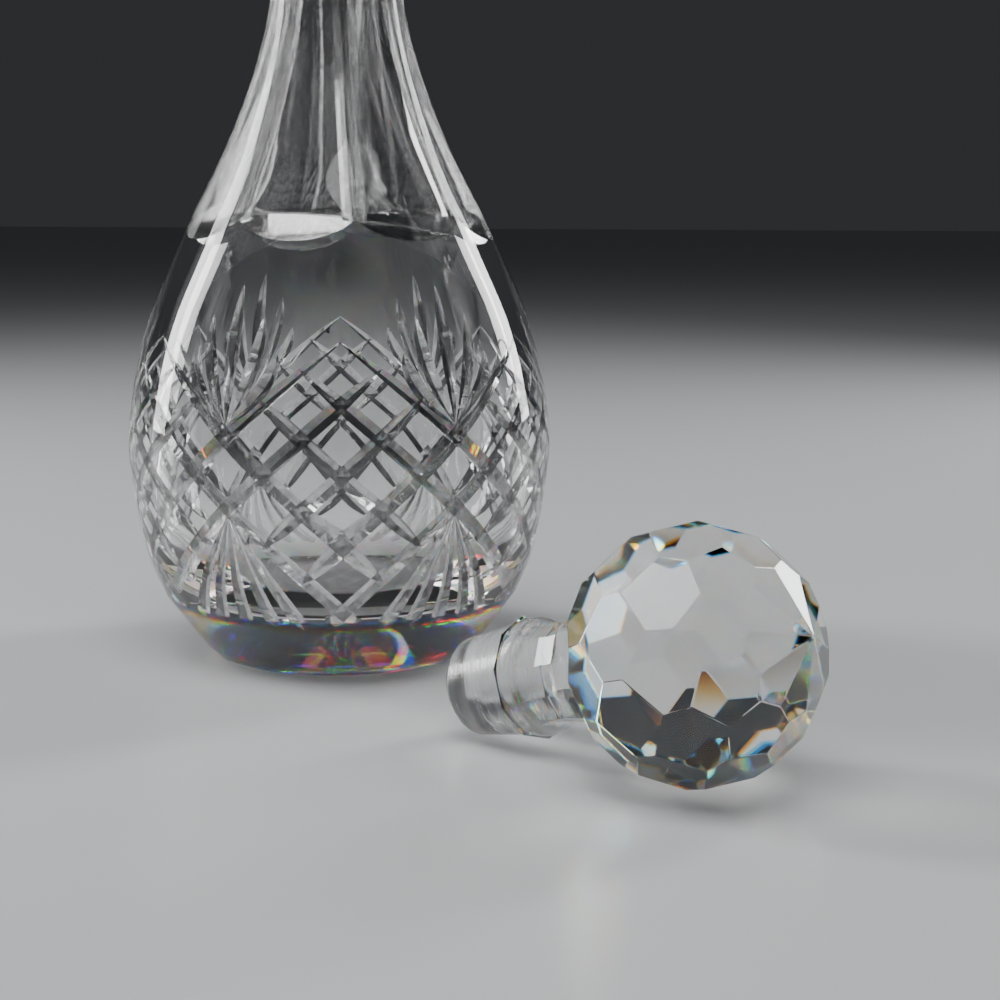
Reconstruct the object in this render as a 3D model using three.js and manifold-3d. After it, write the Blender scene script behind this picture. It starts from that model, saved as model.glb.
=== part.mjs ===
// A cut-glass wine decanter, in millimetres, +Z up.
// The bottle stands on the origin, the centre of its flat polished foot.
// The ball stopper lies in front of the bottle, to its right, resting on its ball and on the end of its plug.
import * as THREE from 'three';
import { mergeVertices } from 'three/addons/utils/BufferGeometryUtils.js';
import Module from 'manifold-3d';

const wasm = await Module();
wasm.setup();

// Bottle: driving dimensions
const BODY_RADIUS = 54;
const BODY_RADIUS_HEIGHT = 52;
const BOTTLE_HEIGHT = 228;
const FOOT_RADIUS = 33.5;
const FOOT_BEVEL = 3;
const BASE_THICKNESS = 15;
const NECK_RADIUS = 15;
const NECK_HEIGHT = 188;
const LIP_RADIUS = 19;
const LIP_EDGE = 1.2;
const MOUTH_RADIUS = 12.6;
const SEAT_RADIUS = 10.7;
const SEAT_DEPTH = 20;
const WALL = 5.2;
const ROUND_STEPS = 48;
const OUTLINE_STEPS = 20;

// Flutes: flat panels ground round the neck and shoulder, meeting in sharp ridges
const FLUTE_COUNT = 8;
const FLUTE_FOOT = 106.5;
const FLUTE_LEDGE = 5;
const LEDGE_REACH = 8;
const FLUTE_DEPTH = 0.4;
const FLUTE_TOP = 206;
const FLUTE_STEPS = 12;
const RIDGE_TURN = THREE.MathUtils.degToRad(5.6);

// Stopper: driving dimensions, measured along its axis from the middle of the ball
const BALL_RADIUS = 25.4;
const BLANK_RADIUS = 28.448;
const BLANK_STEPS = 24;
const FACETS_PER_RING = 10;
const RING_ANGLES = [22, 45, 68.5, 92, 115.5, 138];
const WAIST_RADIUS = 10.3;
const WAIST_START = 25;
const WAIST_END = 33;
const COLLAR_RADIUS = 12.6;
const COLLAR_AT = 41;
const PLUG_RADIUS = 10.8;
const PLUG_END = 61;
const PLUG_ROUND = 3;
const STOPPER_AT = new THREE.Vector2(69.6, -121);
const STOPPER_TURN = THREE.MathUtils.degToRad(-45);
const STOPPER_TILT = THREE.MathUtils.degToRad(16.5);

const point = (radius, height) => new THREE.Vector2(radius, height);

function alongCurve(points, steps) {
  return new THREE.SplineCurve(points).getPoints(steps);
}

// A closed mesh, with its shared corners merged, as a solid that can be cut and joined.
function asSolid(geometry) {
  const plain = geometry.index ? geometry.toNonIndexed() : geometry;
  plain.deleteAttribute('normal');
  plain.deleteAttribute('uv');
  const merged = mergeVertices(plain, 1e-4);
  return new wasm.Manifold(new wasm.Mesh({
    numProp: 3,
    vertProperties: new Float32Array(merged.attributes.position.array),
    triVerts: new Uint32Array(merged.index.array),
  }));
}

function asGeometry(solid) {
  const mesh = solid.getMesh();
  const geometry = new THREE.BufferGeometry();
  geometry.setAttribute('position', new THREE.BufferAttribute(mesh.vertProperties, 3));
  geometry.setIndex(new THREE.BufferAttribute(mesh.triVerts, 1));
  return geometry;
}

// An outline of (radius, height) points turned round the Z axis.
function turned(outline, steps) {
  const geometry = new THREE.LatheGeometry(outline, steps);
  geometry.rotateX(Math.PI / 2);
  return geometry;
}

// The outer curve of the blank, from the foot's bevel to the lip.
const outerCurve = [
  point(FOOT_RADIUS + FOOT_BEVEL, FOOT_BEVEL),
  point(43.6, 12),
  point(50.3, 28),
  point(BODY_RADIUS, BODY_RADIUS_HEIGHT),
  point(52.2, 70),
  point(47, 89),
  point(37.5, 110),
  point(27.5, 130),
  point(19.9, 150),
  point(16.2, 167),
  point(NECK_RADIUS, NECK_HEIGHT),
  point(15.6, 206),
  point(LIP_RADIUS, BOTTLE_HEIGHT - LIP_EDGE),
];

// The inner curve, from the mouth's tapered seat down to the middle of the thick base.
const innerCurve = [
  point(SEAT_RADIUS, BOTTLE_HEIGHT - SEAT_DEPTH),
  point(SEAT_RADIUS, NECK_HEIGHT),
  point(11.6, 167),
  point(14.9, 150),
  point(22.3, 130),
  point(37.5 - WALL, 110),
  point(47 - WALL, 89),
  point(52.2 - WALL, 70),
  point(BODY_RADIUS - WALL, BODY_RADIUS_HEIGHT),
  point(45.6, 31),
  point(33, BASE_THICKNESS + 3.2),
  point(14, BASE_THICKNESS + 0.3),
  point(0, BASE_THICKNESS),
];

function bottleBlank() {
  const outline = [
    point(0, 0),
    point(FOOT_RADIUS, 0),
    ...alongCurve(outerCurve, OUTLINE_STEPS),
    point(LIP_RADIUS - LIP_EDGE, BOTTLE_HEIGHT),
    point(MOUTH_RADIUS, BOTTLE_HEIGHT),
    ...alongCurve(innerCurve, OUTLINE_STEPS),
  ];
  outline[outline.length - 1].x = 0;
  return turned(outline, ROUND_STEPS);
}

// The solid that grinds one flat panel. Its side view follows the shoulder and the neck at the depth
// where neighbouring panels meet in a ridge, and leaves the glass below in a rounded ledge.
function fluteCutter() {
  const panelDepth = Math.cos(Math.PI / FLUTE_COUNT);
  const shoulder = alongCurve(outerCurve, OUTLINE_STEPS * 3)
    .filter((p) => p.y > FLUTE_FOOT + FLUTE_LEDGE && p.y < FLUTE_TOP)
    .filter((p, i) => i % 3 === 0)
    .map((p) => point((p.x - FLUTE_DEPTH) * panelDepth, p.y));
  const start = shoulder[0];
  const ledge = [];
  for (let i = 0; i < FLUTE_STEPS / 2; i++) {
    const turn = (Math.PI / 2) * (1 - i / (FLUTE_STEPS / 2));
    const out = LEDGE_REACH * (1 - Math.cos(turn));
    ledge.push(point(start.x + out, start.y - FLUTE_LEDGE * Math.sin(turn)));
  }
  const reach = BODY_RADIUS;
  const shape = new THREE.Shape([
    point(reach, ledge[0].y),
    point(reach, FLUTE_TOP + FLUTE_LEDGE),
    point(LIP_RADIUS, FLUTE_TOP + FLUTE_LEDGE),
    ...shoulder.reverse(),
    ...ledge.reverse(),
  ]);
  const width = 2 * reach * Math.tan(Math.PI / FLUTE_COUNT);
  const geometry = new THREE.ExtrudeGeometry(shape, { depth: width, bevelEnabled: false });
  geometry.translate(0, 0, -width / 2);
  geometry.rotateX(Math.PI / 2);
  return geometry;
}

function bottleGeometry() {
  let solid = asSolid(bottleBlank());
  for (let i = 0; i < FLUTE_COUNT; i++) {
    const panelMiddle = RIDGE_TURN - Math.PI / 2 + ((i + 0.5) * 2 * Math.PI) / FLUTE_COUNT;
    solid = solid.subtract(asSolid(fluteCutter().rotateZ(panelMiddle)));
  }
  return asGeometry(solid);
}

// A ball cut by rings of flat facets. Each ring is turned half a facet from the one before it.
function facetedBall() {
  let ball = asSolid(new THREE.SphereGeometry(BLANK_RADIUS, BLANK_STEPS, (BLANK_STEPS * 2) / 3));
  const block = 2 * BALL_RADIUS;
  RING_ANGLES.forEach((angle, ring) => {
    for (let i = 0; i < FACETS_PER_RING; i++) {
      const tilt = THREE.MathUtils.degToRad(angle);
      const turn = ((i + (ring % 2 === 0 ? 0.5 : 0)) * 2 * Math.PI) / FACETS_PER_RING;
      const cutter = new THREE.BoxGeometry(block, block, block);
      cutter.translate(0, 0, BALL_RADIUS + block / 2);
      cutter.rotateY(tilt);
      cutter.rotateZ(turn);
      ball = ball.subtract(asSolid(cutter));
    }
  });
  return ball;
}

// The waist, the collar and the tapered plug below the ball, turned in one piece with it.
function stem() {
  const outline = [
    point(0, -PLUG_END),
    point(PLUG_RADIUS - PLUG_ROUND, -PLUG_END),
    point(PLUG_RADIUS - 0.87, 1.35 - PLUG_END),
    point(PLUG_RADIUS, 3.9 - PLUG_END),
    point(COLLAR_RADIUS - 0.2, -COLLAR_AT - 0.6),
    point(COLLAR_RADIUS, -COLLAR_AT),
    point(COLLAR_RADIUS - 0.5, -COLLAR_AT + 2.4),
    point(WAIST_RADIUS + 0.5, -WAIST_END - 1),
    point(WAIST_RADIUS, -WAIST_END),
    point(WAIST_RADIUS, -WAIST_START),
    point(WAIST_RADIUS, -BALL_RADIUS / 2),
    point(0, -BALL_RADIUS / 2),
  ];
  return turned(outline, FACETS_PER_RING * 4);
}

function stopperGeometry() {
  return asGeometry(facetedBall().add(asSolid(stem())));
}

const glass = () => new THREE.MeshStandardMaterial({ color: 0xe4eaec, roughness: 0.03, metalness: 0 });

const decanter = new THREE.Group();

const bottle = new THREE.Mesh(bottleGeometry(), glass());
bottle.name = 'bottle';
decanter.add(bottle);

// The stopper's axis runs from its plug up to its ball, tilted and turned towards the front right.
const stopper = new THREE.Mesh(stopperGeometry(), glass());
stopper.name = 'stopper';
const tilted = new THREE.Group();
tilted.rotation.y = Math.PI / 2 - STOPPER_TILT;
tilted.add(stopper);
const lying = new THREE.Group();
lying.rotation.z = STOPPER_TURN;
lying.add(tilted);
lying.updateMatrixWorld(true);
lying.position.set(STOPPER_AT.x, STOPPER_AT.y, -new THREE.Box3().setFromObject(lying, true).min.z);
decanter.add(lying);

export default decanter;
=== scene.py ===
"""The looks of a cut-glass wine decanter: a bottle of cut crystal, with its faceted ball stopper beside it.

Sizes are in millimetres, and become metres when a mesh is made. Lights and the camera are in metres.
"""

import itertools
import math

import bmesh
import bpy
import numpy as np
from mathutils import Matrix, Vector


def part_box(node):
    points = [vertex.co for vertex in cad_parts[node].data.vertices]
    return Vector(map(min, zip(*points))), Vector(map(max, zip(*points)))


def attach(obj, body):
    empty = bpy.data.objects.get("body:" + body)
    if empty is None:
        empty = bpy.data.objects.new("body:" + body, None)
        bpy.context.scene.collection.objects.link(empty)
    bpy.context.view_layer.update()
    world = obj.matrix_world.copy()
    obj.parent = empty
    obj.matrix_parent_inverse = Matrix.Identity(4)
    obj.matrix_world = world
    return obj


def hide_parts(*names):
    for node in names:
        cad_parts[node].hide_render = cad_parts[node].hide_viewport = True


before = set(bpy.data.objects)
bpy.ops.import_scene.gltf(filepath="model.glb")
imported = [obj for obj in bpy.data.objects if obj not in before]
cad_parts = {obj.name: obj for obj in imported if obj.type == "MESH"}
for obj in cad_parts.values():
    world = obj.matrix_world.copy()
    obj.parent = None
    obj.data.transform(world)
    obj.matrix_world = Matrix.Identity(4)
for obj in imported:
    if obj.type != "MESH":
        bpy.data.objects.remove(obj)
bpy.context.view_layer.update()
MM = 0.001

# ---------------------------------------------------------------- sizes, from the frame
bottle_low, bottle_high = (np.array(corner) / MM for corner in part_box("bottle"))
stopper_low, stopper_high = (np.array(corner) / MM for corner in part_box("stopper"))
BODY = (bottle_high[0] - bottle_low[0]) / 2
HEIGHT = bottle_high[2]

# ---------------------------------------------------------------- material slots
BLOWN, PANEL, CUT, CAVITY, GROUND, BASE = range(6)

# ---------------------------------------------------------------- bottle
FOOT = 0.62 * BODY
FOOT_CORNER = 0.8
BAND_TOP = 16.3
FLOOR = 15.0
WALL = 5.2
SEAT = 10.7
SEAT_DEPTH = 20
MOUTH = 12.6
LIP = 19.0
LIP_EDGE = 1.4
BOTTLE_STEPS = 192
CAVITY_STEPS = 144

# Flutes: flat panels ground round the neck and shoulder, meeting in narrow chamfered ridges
FLUTES = 8
RIDGE_TURN = math.radians(5.6)
FLUTE_FOOT = 112.0
LEDGE_DROP = 7.5
LEDGE_SLOPE = 0.72
LEDGE_CURVE = 0.045
FLUTE_TOP = 206.0
FLUTE_DEPTH = 0.35
RIDGE_CHAMFER = 0.14
RIDGE_HALF = 3.0
RUN_OUT_DEPTH = 9
RUN_OUT_HEIGHT = 12

# Cut pattern: diamond fields round the body, with a fan above and below between each two fields.
# Columns are degrees round the body, rows are crossings counted down from a field's peak. A cut's ends lift
# off the glass. A ray starts below its fan's row and notches the base band.
FIELDS = 6
COLUMN = 10.0
ROW = 8.4
ROW_CROWDING = 0.35
UPPER_FAN_ROW = 3
LOWER_FAN_ROW = 5
UPPER_FAN_HEIGHT = 61.0
V_SLOPE = math.tan(math.radians(51))
RAY_SLOPE = math.tan(math.radians(53))
MITRE_DEPTH = 1.5
EDGE_MITRE_DEPTH = 1.68
LEAF_DEPTH = 1.6
RAY_DEPTH = 1.75
CUTTER_HEIGHT = 2.0
OVERRUN = 0.12
LIFT = 0.1
LEAF_FOOT = 2.2
RAY_START = 1.5
RAY_NOTCH = 2.5
MITRE_STEPS = 44
FAN_STEPS = 28

# The mitre lines that start on one edge of a field: first and last row, and the shares that run out
LINES = [(0, 7.0, 0.55, 0.12), (1.0, 8.4, 0.2, 0.0), (2.0, 6.0, 0.2, 0.2)]
# Upper leaves: degrees from the fan's middle, and the height of the tip
UPPER_LEAVES = [(0, 96.2), (-8.4, 89.2), (8.4, 89.2), (-13.0, 80.5), (13.0, 80.5)]
# Lower rays: degrees from the fan's middle, at the base band
LOWER_RAYS = [0, -9.5, 9.5, -18.5, 18.5]

# Outlines, as (radius, height)
FOOT_LINE = [(0, 0), (FOOT - FOOT_CORNER, 0), (FOOT, 0.3), (FOOT + 1.6, 2.0), (FOOT + 2.9, 3.0)]

OUTER = [
    (46.0, BAND_TOP),
    (50.3, 28),
    (BODY, 52),
    (52.2, 70),
    (47, 89),
    (37.5, 110),
    (27.5, 130),
    (19.9, 150),
    (16.2, 167),
    (15, 188),
    (15.6, 206),
    (LIP, HEIGHT - LIP_EDGE),
]
INNER = [
    (MOUTH, HEIGHT),
    (SEAT, HEIGHT - SEAT_DEPTH),
    (SEAT, 188),
    (11.6, 167),
    (14.9, 150),
    (22.3, 130),
    (37.5 - WALL, 110),
    (47 - WALL, 89),
    (52.2 - WALL, 70),
    (BODY - WALL, 52),
    (46.0, 32),
    (36.5, FLOOR + 4.4),
    (20, FLOOR + 0.7),
    (0, FLOOR),
]

# ---------------------------------------------------------------- stopper, along its axis from the ball
BALL = 25.4
FACETS = 10
RINGS = [22, 45, 68.5, 92, 115.5, 138]
FLAT_END = 22.86
EDGE_BEVEL = 0.24
COLLAR = 12.6
COLLAR_AT = 41.0
PLUG = 10.8
PLUG_END = 61.0
PLUG_STEPS = 160
WAIST_LINE = [
    (0, -42),
    (13.4, -42),
    (11.9, -38.4),
    (10.9, -35),
    (10.6, -31),
    (11.2, -26.5),
    (13, -22),
    (0, -19),
]
STOPPER_TURN = math.radians(-45)
STOPPER_TILT = math.radians(16.5)


def spline(points, per_span):
    """Catmull-Rom curve through points."""
    p = np.array([points[0], *points, points[-1]], float)
    out = []
    for i in range(1, len(p) - 2):
        for t in np.linspace(0, 1, per_span, endpoint=False):
            a = 2 * p[i]
            b = p[i + 1] - p[i - 1]
            c = 2 * p[i - 1] - 5 * p[i] + 4 * p[i + 1] - p[i + 2]
            d = 3 * p[i] - p[i - 1] - 3 * p[i + 1] + p[i + 2]
            out.append((a + b * t + c * t * t + d * t**3) / 2)
    out.append(p[-1])
    return np.array(out)


outer_line = spline(OUTER, 9)
inner_line = spline(INNER, 6)


def radius(z):
    return np.interp(z, outer_line[:, 1], outer_line[:, 0])


# ---------------------------------------------------------------- meshes
def new_object(name, points, faces, slot):
    mesh = bpy.data.meshes.new(name)
    mesh.from_pydata((np.asarray(points, float) * MM).tolist(), [], faces)
    mesh.update()
    mesh.polygons.foreach_set("material_index", [slot] * len(mesh.polygons))
    obj = bpy.data.objects.new(name, mesh)
    bpy.context.scene.collection.objects.link(obj)
    return obj


def lathe(name, profile, steps, slot):
    """A closed turned solid. Its profile starts and ends on the axis, with the bottom end first."""
    points, faces, rings = [], [], []
    turns = np.linspace(0, 2 * math.pi, steps, endpoint=False)
    for r, z in profile:
        if r == 0:
            rings.append([len(points)])
            points.append((0, 0, z))
        else:
            rings.append(list(range(len(points), len(points) + steps)))
            points += [(r * math.cos(a), r * math.sin(a), z) for a in turns]
    for low, high in zip(rings, rings[1:]):
        for i in range(steps):
            j = (i + 1) % steps
            quad = [low[i % len(low)], low[j % len(low)], high[j % len(high)], high[i % len(high)]]
            # A quad that touches the axis has the same corner twice, and becomes a triangle
            faces.append(list(dict.fromkeys(quad)))
    return new_object(name, points, faces, slot)


def prisms(name, sweeps, slot):
    """Closed solids, each swept through a list of cross-sections with the same number of corners."""
    points, faces = [], []
    for sections in sweeps:
        n = len(sections[0])
        start = len(points)
        for section in sections:
            points += [tuple(p) for p in section]
        for k in range(len(sections) - 1):
            a = start + k * n
            b = a + n
            faces += [[a + i, a + (i + 1) % n, b + (i + 1) % n, b + i] for i in range(n)]
        last = start + (len(sections) - 1) * n
        faces.append([start + i for i in reversed(range(n))])
        faces.append([last + i for i in range(n)])
    return new_object(name, points, faces, slot)


def apply_boolean(target, cutter, operation="DIFFERENCE"):
    """Cut the cutter from the target, or join it on, and remove the cutter. Faces keep their slots."""
    modifier = target.modifiers.new("cut", "BOOLEAN")
    modifier.operation = operation
    modifier.solver = "MANIFOLD"
    modifier.material_mode = "INDEX"
    modifier.object = cutter
    graph = bpy.context.evaluated_depsgraph_get()
    mesh = bpy.data.meshes.new_from_object(target.evaluated_get(graph))
    target.modifiers.clear()
    old = target.data
    target.data = mesh
    bpy.data.meshes.remove(old)
    gone = cutter.data
    bpy.data.objects.remove(cutter)
    bpy.data.meshes.remove(gone)


# ---------------------------------------------------------------- wheel cuts on the bottle
def row_height(row):
    """The height of a row of crossings. The rows crowd together above the upper fans' feet."""
    above = UPPER_FAN_ROW - row
    return UPPER_FAN_HEIGHT + ROW * above - ROW_CROWDING * np.maximum(0, above) ** 2


def surface_frame(turn, z):
    """A point on the blank and the outward normal there."""
    r = radius(z)
    slope = radius(z + 0.5) - radius(z - 0.5)
    point = np.array([r * math.sin(turn), -r * math.cos(turn), z])
    normal = np.array([math.sin(turn), -math.cos(turn), -slope])
    return point, normal / np.linalg.norm(normal)


def v_cut(path, depths, slope=V_SLOPE):
    """Cross-sections of a V-shaped wheel cut along path, a list of (degrees round, height)."""
    frames = [surface_frame(math.radians(a), z) for a, z in path]
    points = np.array([f[0] for f in frames])
    sections = []
    for i, (point, normal) in enumerate(frames):
        ahead = points[min(i + 1, len(points) - 1)] - points[max(i - 1, 0)]
        side = np.cross(ahead, normal)
        side /= np.linalg.norm(side)
        depth = depths[i]
        half = (depth + CUTTER_HEIGHT) * slope
        top = point + normal * CUTTER_HEIGHT
        sections.append([point - normal * depth, top + side * half, top - side * half])
    return sections


def run_out(n, full, head, tail):
    """Depths along a cut that is full in the middle, and runs out over shares of its length at each end."""
    s = np.linspace(0, 1, n)
    rise = np.clip(s / max(head, 1e-6), 0, 1)
    fall = np.clip((1 - s) / max(tail, 1e-6), 0, 1)
    shape = np.minimum(np.sin(rise * math.pi / 2) ** 0.8, np.sin(fall * math.pi / 2) ** 0.8)
    return full * shape - OVERRUN * (shape < 0.02)


def mitre_lines(lean):
    """The long diagonal cuts that lean one way. Each field starts three, from its upper edge."""
    sweeps = []
    for field in range(FIELDS):
        middle = field * 360 / FIELDS
        for number, (first, last, head, tail) in enumerate(LINES):
            rows = np.linspace(first - OVERRUN, last + OVERRUN, MITRE_STEPS)
            path = [(middle + lean * COLUMN * (row - 2 * number), row_height(row)) for row in rows]
            depth = EDGE_MITRE_DEPTH if number == 0 else MITRE_DEPTH
            sweeps.append(v_cut(path, run_out(len(rows), depth, head, tail)))
    return sweeps


def fan_cuts(cut_at, index):
    """One cut of every fan. The fans stand midway between the fields."""
    return [cut_at((field + 0.5) * 360 / FIELDS, index) for field in range(FIELDS)]


def upper_leaf(middle, index):
    turn, top = UPPER_LEAVES[index]
    foot = row_height(UPPER_FAN_ROW) + LEAF_FOOT
    s = np.linspace(0, 1, FAN_STEPS)
    bend = np.sin(s * math.pi / 2)
    path = [(middle + turn * b, foot + (top - foot) * t) for t, b in zip(s, bend)]
    swell = np.sin(math.pi * s**1.15)
    return v_cut(path, LEAF_DEPTH * swell.clip(0) ** 0.75 - LIFT)


def lower_ray(middle, index):
    turn = LOWER_RAYS[index]
    top = row_height(LOWER_FAN_ROW) - RAY_START
    s = np.linspace(0, 1, FAN_STEPS)
    path = [(middle + turn * t, top + (BAND_TOP - RAY_NOTCH - top) * t) for t in s]
    return v_cut(path, RAY_DEPTH * s**0.7 - LIFT, RAY_SLOPE)


def flute(number, line, half):
    """The sections of a solid that grinds a flat strip of the neck, which stands line(z) from the axis."""
    panel = [(line(z), z) for z in np.linspace(FLUTE_FOOT, FLUTE_TOP, 60)]
    ledge = []
    for drop in np.linspace(LEDGE_DROP, 0, 14)[:-1]:
        out = LEDGE_SLOPE * drop + LEDGE_CURVE * drop**2
        ledge.append((panel[0][0] + out, FLUTE_FOOT - drop))
    top = []
    for turn in np.linspace(0, math.pi / 2, 10)[1:]:
        out = RUN_OUT_DEPTH * (1 - math.cos(turn))
        top.append((panel[-1][0] + out, FLUTE_TOP + RUN_OUT_HEIGHT * math.sin(turn)))
    side = [(BODY, ledge[0][1] - 0.01), *ledge, *panel, *top, (BODY, top[-1][1] + 0.01)]
    middle = RIDGE_TURN - math.pi / 2 + number * 2 * math.pi / FLUTES
    turn = Matrix.Rotation(middle, 3, "Z")
    return [[tuple(turn @ Vector((r, across, z))) for r, z in side] for across in (half, -half)]


def panel_line(z):
    return (radius(z) - FLUTE_DEPTH) * math.cos(math.pi / FLUTES)


def ridge_line(z):
    return radius(z) - FLUTE_DEPTH - RIDGE_CHAMFER


def make_bottle():
    profile = FOOT_LINE + [tuple(p) for p in outer_line]
    lip_half = (LIP - MOUTH) / 2
    for turn in np.linspace(0, math.pi, 9)[1:]:
        across = LIP - lip_half + lip_half * math.cos(turn)
        profile.append((across, HEIGHT - LIP_EDGE + LIP_EDGE * math.sin(turn)))
    profile.append((0, HEIGHT - LIP_EDGE))
    bottle = lathe("decanter_bottle", profile, BOTTLE_STEPS, BLOWN)
    half = BODY * math.tan(math.pi / FLUTES)
    for first in (0.5, 1.5):
        sweeps = [flute(first + i, panel_line, half) for i in range(0, FLUTES, 2)]
        apply_boolean(bottle, prisms("panels", sweeps, PANEL))
    ridges = [flute(i, ridge_line, RIDGE_HALF) for i in range(FLUTES)]
    apply_boolean(bottle, prisms("ridges", ridges, PANEL))
    apply_boolean(bottle, prisms("left", mitre_lines(-1), CUT))
    apply_boolean(bottle, prisms("right", mitre_lines(1), CUT))
    for index in range(len(UPPER_LEAVES)):
        apply_boolean(bottle, prisms("leaf", fan_cuts(upper_leaf, index), CUT))
    for index in range(len(LOWER_RAYS)):
        apply_boolean(bottle, prisms("ray", fan_cuts(lower_ray, index), CUT))
    mouth = [(MOUTH + 0.6, HEIGHT + 5), (0, HEIGHT + 5)]
    cavity = [tuple(p) for p in inner_line[::-1]] + mouth
    apply_boolean(bottle, lathe("cavity", cavity, CAVITY_STEPS, CAVITY))
    for face in bottle.data.polygons:
        height = face.center.z / MM
        if face.material_index == CAVITY and height > HEIGHT - SEAT_DEPTH:
            face.material_index = GROUND
        if face.material_index == BLOWN and 0.1 < height < BAND_TOP:
            face.material_index = BASE
    return bottle


# ---------------------------------------------------------------- stopper


def make_ball():
    """A ball ground to flat facets in staggered rings: the solid inside all the facet planes."""
    normals = []
    for ring, angle in enumerate(RINGS):
        tilt = math.radians(angle)
        for i in range(FACETS):
            turn = (i + (0.5 if ring % 2 == 0 else 0)) * 2 * math.pi / FACETS
            across = math.sin(tilt)
            normals.append((across * math.cos(turn), across * math.sin(turn), math.cos(tilt)))
    normals.append((0, 0, -1))
    normals = np.array(normals)
    reach = np.full(len(normals), BALL)
    reach[-1] = FLAT_END
    corners = []
    for trio in itertools.combinations(range(len(normals)), 3):
        rows = normals[list(trio)]
        if abs(np.linalg.det(rows)) > 1e-3:
            corner = np.linalg.solve(rows, reach[list(trio)])
            if np.all(normals @ corner < reach + 1e-6):
                corners.append(corner)
    corners = np.unique(np.round(corners, 5), axis=0)
    bm = bmesh.new()
    for corner in corners:
        bm.verts.new(corner)
    bmesh.ops.remove_doubles(bm, verts=bm.verts[:], dist=0.01)
    bmesh.ops.convex_hull(bm, input=bm.verts[:])
    bmesh.ops.dissolve_limit(bm, angle_limit=math.radians(1), verts=bm.verts[:], edges=bm.edges[:])
    bmesh.ops.bevel(
        bm, geom=bm.edges[:], offset=EDGE_BEVEL, segments=3, affect="EDGES", profile=0.5
    )
    bmesh.ops.recalc_face_normals(bm, faces=bm.faces[:])
    bmesh.ops.scale(bm, vec=(MM, MM, MM), verts=bm.verts[:])
    mesh = bpy.data.meshes.new("ball")
    bm.to_mesh(mesh)
    bm.free()
    obj = bpy.data.objects.new("stopper_glass", mesh)
    bpy.context.scene.collection.objects.link(obj)
    return obj


def make_stopper():
    """The ball, the ten-sided waist, and the turned collar and plug, with the axis upright."""
    ball = make_ball()
    ball.data.polygons.foreach_set("material_index", [CUT] * len(ball.data.polygons))
    stem = [(0, -PLUG_END), (PLUG - 3.2, -PLUG_END), (PLUG - 2.7, -PLUG_END + 0.2)]
    for turn in np.linspace(0, math.pi / 2, 8):
        stem.append((PLUG - 0.5 + 0.5 * math.sin(turn), -PLUG_END + 3.6 - 0.9 * math.cos(turn)))
    stem += [(COLLAR - 0.35, -COLLAR_AT - 0.8), (COLLAR, -COLLAR_AT), (COLLAR, -COLLAR_AT + 1.2)]
    for turn in np.linspace(0, math.pi / 2, 10)[1:]:
        inward = 3.5 * (1 - math.cos(turn))
        stem.append((COLLAR - inward, -COLLAR_AT + 1.2 + 3.4 * math.sin(turn)))
    stem.append((0, -COLLAR_AT + 4.6))
    apply_boolean(ball, lathe("waist", WAIST_LINE, FACETS, CUT), "UNION")
    apply_boolean(ball, lathe("plug", stem, PLUG_STEPS, PANEL), "UNION")
    return ball


def stopper_place():
    """How the stopper's axis lies."""
    return Matrix.Rotation(STOPPER_TURN, 4, "Z") @ Matrix.Rotation(math.pi / 2 - STOPPER_TILT, 4, "Y")


def lay_down(stopper):
    """Turn and tilt the stopper, and move it so that its box stands where the solid's box does."""
    stopper.data.transform(stopper_place())
    points = np.empty(len(stopper.data.vertices) * 3)
    stopper.data.vertices.foreach_get("co", points)
    points = points.reshape(-1, 3)
    middle = (points.min(0) + points.max(0)) / 2
    target = (stopper_low + stopper_high) / 2 * MM
    shift = target - middle
    shift[2] = stopper_low[2] * MM - points[:, 2].min()
    stopper.data.transform(Matrix.Translation(Vector(shift)))


# ---------------------------------------------------------------- shading, sharp above an angle in degrees
BOTTLE_SHARP = 20
STOPPER_SHARP = 12


def smooth_by_angle(obj, degrees):
    mesh = obj.data
    mesh.polygons.foreach_set("use_smooth", [True] * len(mesh.polygons))
    mesh.set_sharp_from_angle(angle=math.radians(degrees))
    mesh.update()


def set_turned_normals(obj, slot_lines):
    """Give turned faces the normals of their outline, so that the cuts beside them leave no dents.

    Each entry has a slot, its outline, 1 for an outside or -1 for an inside, and the heights it is for.
    """
    mesh = obj.data
    n = len(mesh.loops)
    normals = np.empty(n * 3, np.float32)
    mesh.corner_normals.foreach_get("vector", normals)
    normals = normals.reshape(-1, 3)
    points = np.empty(len(mesh.vertices) * 3, np.float32)
    mesh.vertices.foreach_get("co", points)
    points = points.reshape(-1, 3) / MM
    corner_point = np.empty(n, np.int32)
    mesh.loops.foreach_get("vertex_index", corner_point)
    slots = np.empty(len(mesh.polygons), np.int32)
    mesh.polygons.foreach_get("material_index", slots)
    sizes = np.empty(len(mesh.polygons), np.int32)
    mesh.polygons.foreach_get("loop_total", sizes)
    corner_slot = np.repeat(slots, sizes)
    at = points[corner_point]
    around = np.hypot(at[:, 0], at[:, 1])
    for slot, line, sign, low, high in slot_lines:
        order = np.argsort(line[:, 1])
        z, r = line[order, 1], line[order, 0]
        slope = np.gradient(r, z)
        here = (corner_slot == slot) & (at[:, 2] > low) & (at[:, 2] < high) & (around > 1)
        outward = at[here, :2] / around[here, None]
        wanted = np.column_stack([outward, -np.interp(at[here, 2], z, slope)])
        wanted /= np.linalg.norm(wanted, axis=1, keepdims=True)
        normals[here] = sign * wanted
    mesh.normals_split_custom_set(normals.tolist())


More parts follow.
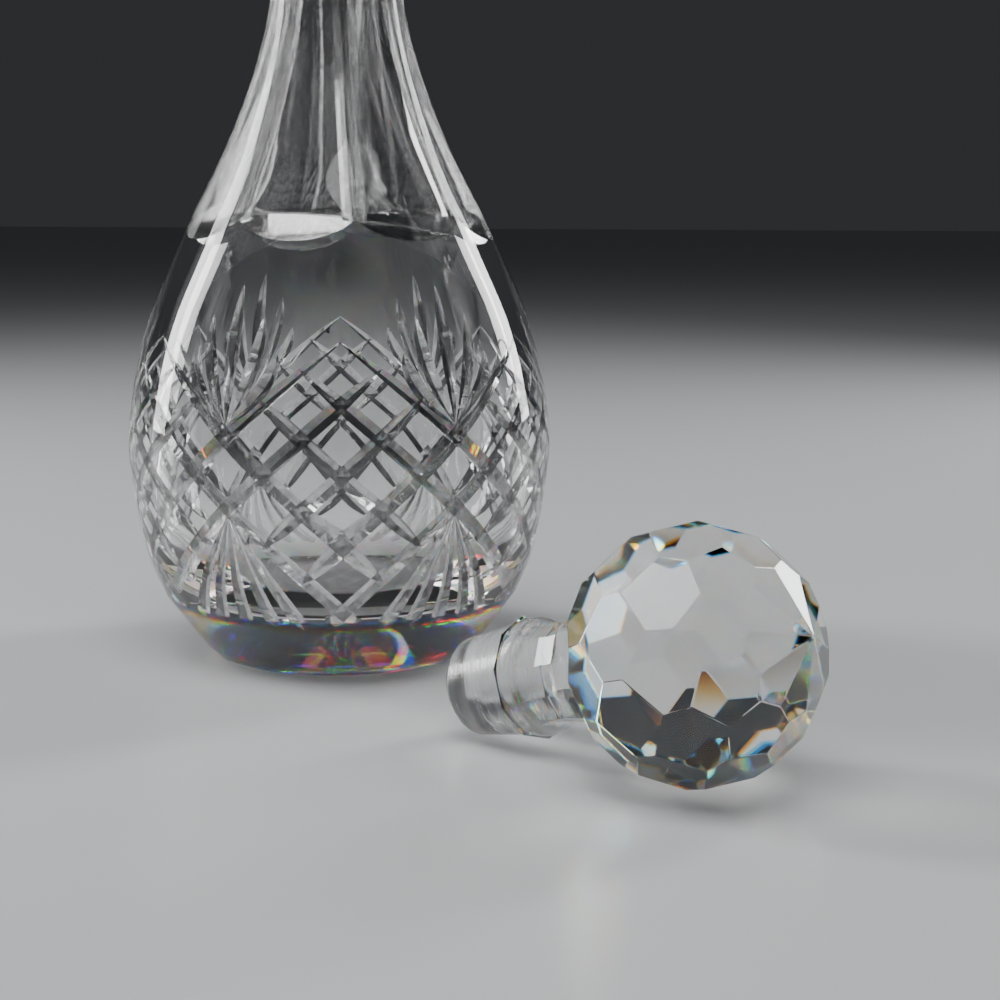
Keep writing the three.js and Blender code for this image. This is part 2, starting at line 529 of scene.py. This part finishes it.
# ---------------------------------------------------------------- glass
# Lead crystal bends blue light more than red, which gives the rainbow flecks. So the glass is made of parts,
# each with a colour and an index of refraction, and the parts' colours add up to white.
PLAIN = [((1, 1, 1, 1), 1.55)]
SPLIT = [((0.75, 0.25, 0, 1), 1.53), ((0.25, 0.5, 0.25, 1), 1.55), ((0, 0.25, 0.75, 1), 1.572)]
WIDE_SPLIT = [((1, 0, 0, 1), 1.51), ((0, 1, 0, 1), 1.55), ((0, 0, 1, 1), 1.6)]


# The noise stays between these levels, and the roughness varies between these shares of its value
NOISE_LEVELS = (0.3, 0.7)
ROUGH_SHARES = (0.6, 1.6)


def glass(name, scale, height, roughness, colours=PLAIN, turn=(0, 0, 0), detail=1):
    """Crystal with a faint relief: scale is waves a metre along each axis, height is in metres."""
    material = bpy.data.materials.new(name)
    material.use_nodes = True
    nodes, links = material.node_tree.nodes, material.node_tree.links
    nodes.remove(nodes["Principled BSDF"])
    place = nodes.new("ShaderNodeTexCoord")
    stretch = nodes.new("ShaderNodeMapping")
    stretch.vector_type = "TEXTURE"
    stretch.inputs["Rotation"].default_value = turn
    stretch.inputs["Scale"].default_value = [1 / waves for waves in scale]
    links.new(place.outputs["Object"], stretch.inputs["Vector"])
    noise = nodes.new("ShaderNodeTexNoise")
    noise.inputs["Scale"].default_value = 1
    noise.inputs["Detail"].default_value = detail
    links.new(stretch.outputs["Vector"], noise.inputs["Vector"])
    bump = nodes.new("ShaderNodeBump")
    bump.inputs["Strength"].default_value = 1
    bump.inputs["Distance"].default_value = height
    links.new(noise.outputs["Fac"], bump.inputs["Height"])
    rough = nodes.new("ShaderNodeMapRange")
    rough.inputs["From Min"].default_value = NOISE_LEVELS[0]
    rough.inputs["From Max"].default_value = NOISE_LEVELS[1]
    rough.inputs["To Min"].default_value = roughness * ROUGH_SHARES[0]
    rough.inputs["To Max"].default_value = roughness * ROUGH_SHARES[1]
    links.new(noise.outputs["Fac"], rough.inputs["Value"])
    total = None
    for colour, bend in colours:
        part = nodes.new("ShaderNodeBsdfGlass")
        part.inputs["Color"].default_value = colour
        part.inputs["IOR"].default_value = bend
        links.new(rough.outputs["Result"], part.inputs["Roughness"])
        links.new(bump.outputs["Normal"], part.inputs["Normal"])
        if total is None:
            total = part.outputs["BSDF"]
        else:
            add = nodes.new("ShaderNodeAddShader")
            links.new(total, add.inputs[0])
            links.new(part.outputs["BSDF"], add.inputs[1])
            total = add.outputs["Shader"]
    links.new(total, nodes["Material Output"].inputs["Surface"])
    return material


STOPPER_LIES = stopper_place().to_euler()
# Name, waves a metre along x, y and z, relief in metres, roughness
blown = glass("crystal_blown", (60, 60, 25), 0.00002, 0.015)
panels = glass("crystal_panels", (80, 80, 800), 0.0000016, 0.03, detail=2)
cut = glass("crystal_cut", (150, 150, 150), 0.000003, 0.015)
facets = glass("crystal_facets", (150, 150, 150), 0.000003, 0.015, SPLIT)
base = glass("crystal_base", (150, 150, 150), 0.000003, 0.015, WIDE_SPLIT)
seat = glass("crystal_seat", (40, 40, 1100), 0.000026, 0.2, detail=3)
plug = glass("crystal_plug", (40, 40, 1100), 0.000026, 0.2, turn=STOPPER_LIES, detail=3)


def give_materials(obj, materials):
    """Give a cleaned mesh its materials, while its faces keep their slots."""
    mesh = obj.data
    mesh.validate()
    slots = np.empty(len(mesh.polygons), np.int32)
    mesh.polygons.foreach_get("material_index", slots)
    mesh.materials.clear()
    for material in materials:
        mesh.materials.append(material)
    mesh.polygons.foreach_set("material_index", slots)
    mesh.update()


# ---------------------------------------------------------------- build
bottle = make_bottle()
give_materials(bottle, (blown, panels, cut, blown, seat, base))
smooth_by_angle(bottle, BOTTLE_SHARP)
set_turned_normals(
    bottle,
    [
        (BLOWN, outer_line, 1, BAND_TOP + 0.05, HEIGHT - 2.5),
        (CAVITY, inner_line, -1, FLOOR + 0.2, HEIGHT - SEAT_DEPTH - 0.5),
    ],
)

stopper = make_stopper()
lay_down(stopper)
give_materials(stopper, (blown, plug, facets))
smooth_by_angle(stopper, STOPPER_SHARP)
weigh = stopper.modifiers.new("flat facets", "WEIGHTED_NORMAL")
weigh.keep_sharp = True

for piece, node in ((bottle, "bottle"), (stopper, "stopper")):
    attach(piece, node)
    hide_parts(node)

# ---------------------------------------------------------------- floor, light and camera
FLOOR_HALF = 15
FLOOR_DROP = 0.0003
FLOOR_COLOUR = (0.52, 0.53, 0.54, 1)
FLOOR_ROUGHNESS = 0.38
WORLD_COLOUR = (0.03, 0.032, 0.035, 1)


def make_floor():
    mesh = bpy.data.meshes.new("floor")
    h = FLOOR_HALF
    mesh.from_pydata([(-h, -h, 0), (h, -h, 0), (h, h, 0), (-h, h, 0)], [], [(0, 1, 2, 3)])
    floor = bpy.data.objects.new("floor", mesh)
    floor.location.z = -FLOOR_DROP
    bpy.context.scene.collection.objects.link(floor)
    material = bpy.data.materials.new("floor")
    material.use_nodes = True
    shader = material.node_tree.nodes["Principled BSDF"]
    shader.inputs["Base Color"].default_value = FLOOR_COLOUR
    shader.inputs["Roughness"].default_value = FLOOR_ROUGHNESS
    mesh.materials.append(material)


make_floor()

world = bpy.data.worlds.new("studio")
bpy.context.scene.world = world
world.use_nodes = True
world.node_tree.nodes["Background"].inputs["Color"].default_value = WORLD_COLOUR
world.node_tree.nodes["Background"].inputs["Strength"].default_value = 1


def softbox(name, place, target, size, power):
    """A soft light that faces a target, with its size in metres and its power in watts."""
    lamp = bpy.data.lights.new(name, "AREA")
    lamp.shape = "RECTANGLE"
    lamp.size, lamp.size_y = size
    lamp.energy = power
    obj = bpy.data.objects.new(name, lamp)
    obj.location = place
    obj.rotation_euler = (Vector(target) - Vector(place)).to_track_quat("-Z", "Y").to_euler()
    bpy.context.scene.collection.objects.link(obj)


softbox("left", (-0.8, 0.3, 0.42), (0, 0, 0.1), (0.2, 0.8), 9)
softbox("right", (0.8, 0.42, 0.45), (0, 0, 0.1), (0.16, 0.8), 7)
softbox("top", (-0.15, -0.35, 1.15), (0, 0, 0), (0.9, 0.6), 12)

CAMERA = Vector((0, -0.451, 0.1119))
SENSOR = 36
LENS = 62.748
PITCH = math.radians(9.256)
YAW = math.radians(5.252)
ROLL = math.radians(-0.309)
camera = bpy.data.cameras.new("camera")
camera.sensor_width = SENSOR
camera.lens = LENS
view = bpy.data.objects.new("camera", camera)
view.matrix_world = (
    Matrix.Translation(CAMERA)
    @ Matrix.Rotation(-YAW, 4, "Z")
    @ Matrix.Rotation(math.pi / 2 - PITCH, 4, "X")
    @ Matrix.Rotation(-ROLL, 4, "Z")
)
bpy.context.scene.collection.objects.link(view)
bpy.context.scene.camera = view
